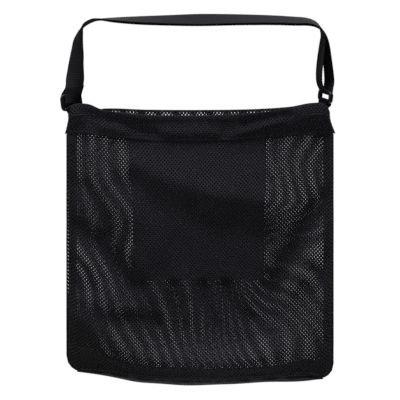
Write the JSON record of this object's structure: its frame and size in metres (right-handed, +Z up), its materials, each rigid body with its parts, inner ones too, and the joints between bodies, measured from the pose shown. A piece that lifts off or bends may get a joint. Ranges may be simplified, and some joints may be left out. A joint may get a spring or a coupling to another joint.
{
  "type": "mushroom foraging bag",
  "caption": "Flat mesh shoulder bag for foraging, with an open hemmed mouth, a flat pocket inside, a solid cloth base and a doubled webbing strap on a slider and a ring.",
  "frame": {"origin": "middle of the underside of the strap's top run, where the bag hangs", "axes": "+Z up, +X to the right seen from the front, +Y from the front panel to the back panel"},
  "size_m": [0.3853, 0.0477, 0.5203],
  "materials": {
    "knitted_mesh": "black knitted polyester mesh, open diamond holes",
    "woven_nylon": "black plain-woven nylon, faint sheen",
    "webbing": "black ribbed polyester webbing",
    "moulded_plastic": "black moulded acetal, satin"
  },
  "bodies": {
    "root": {"front_panel": "knitted_mesh", "back_panel": "knitted_mesh", "front_hem": "knitted_mesh", "back_hem": "knitted_mesh", "base_panel": "woven_nylon", "inner_pocket": "woven_nylon", "left_binding": "woven_nylon", "right_binding": "woven_nylon", "strap": "webbing", "ring_tab": "webbing", "slider": "moulded_plastic", "ring": "moulded_plastic"}
  },
  "joints": []
}
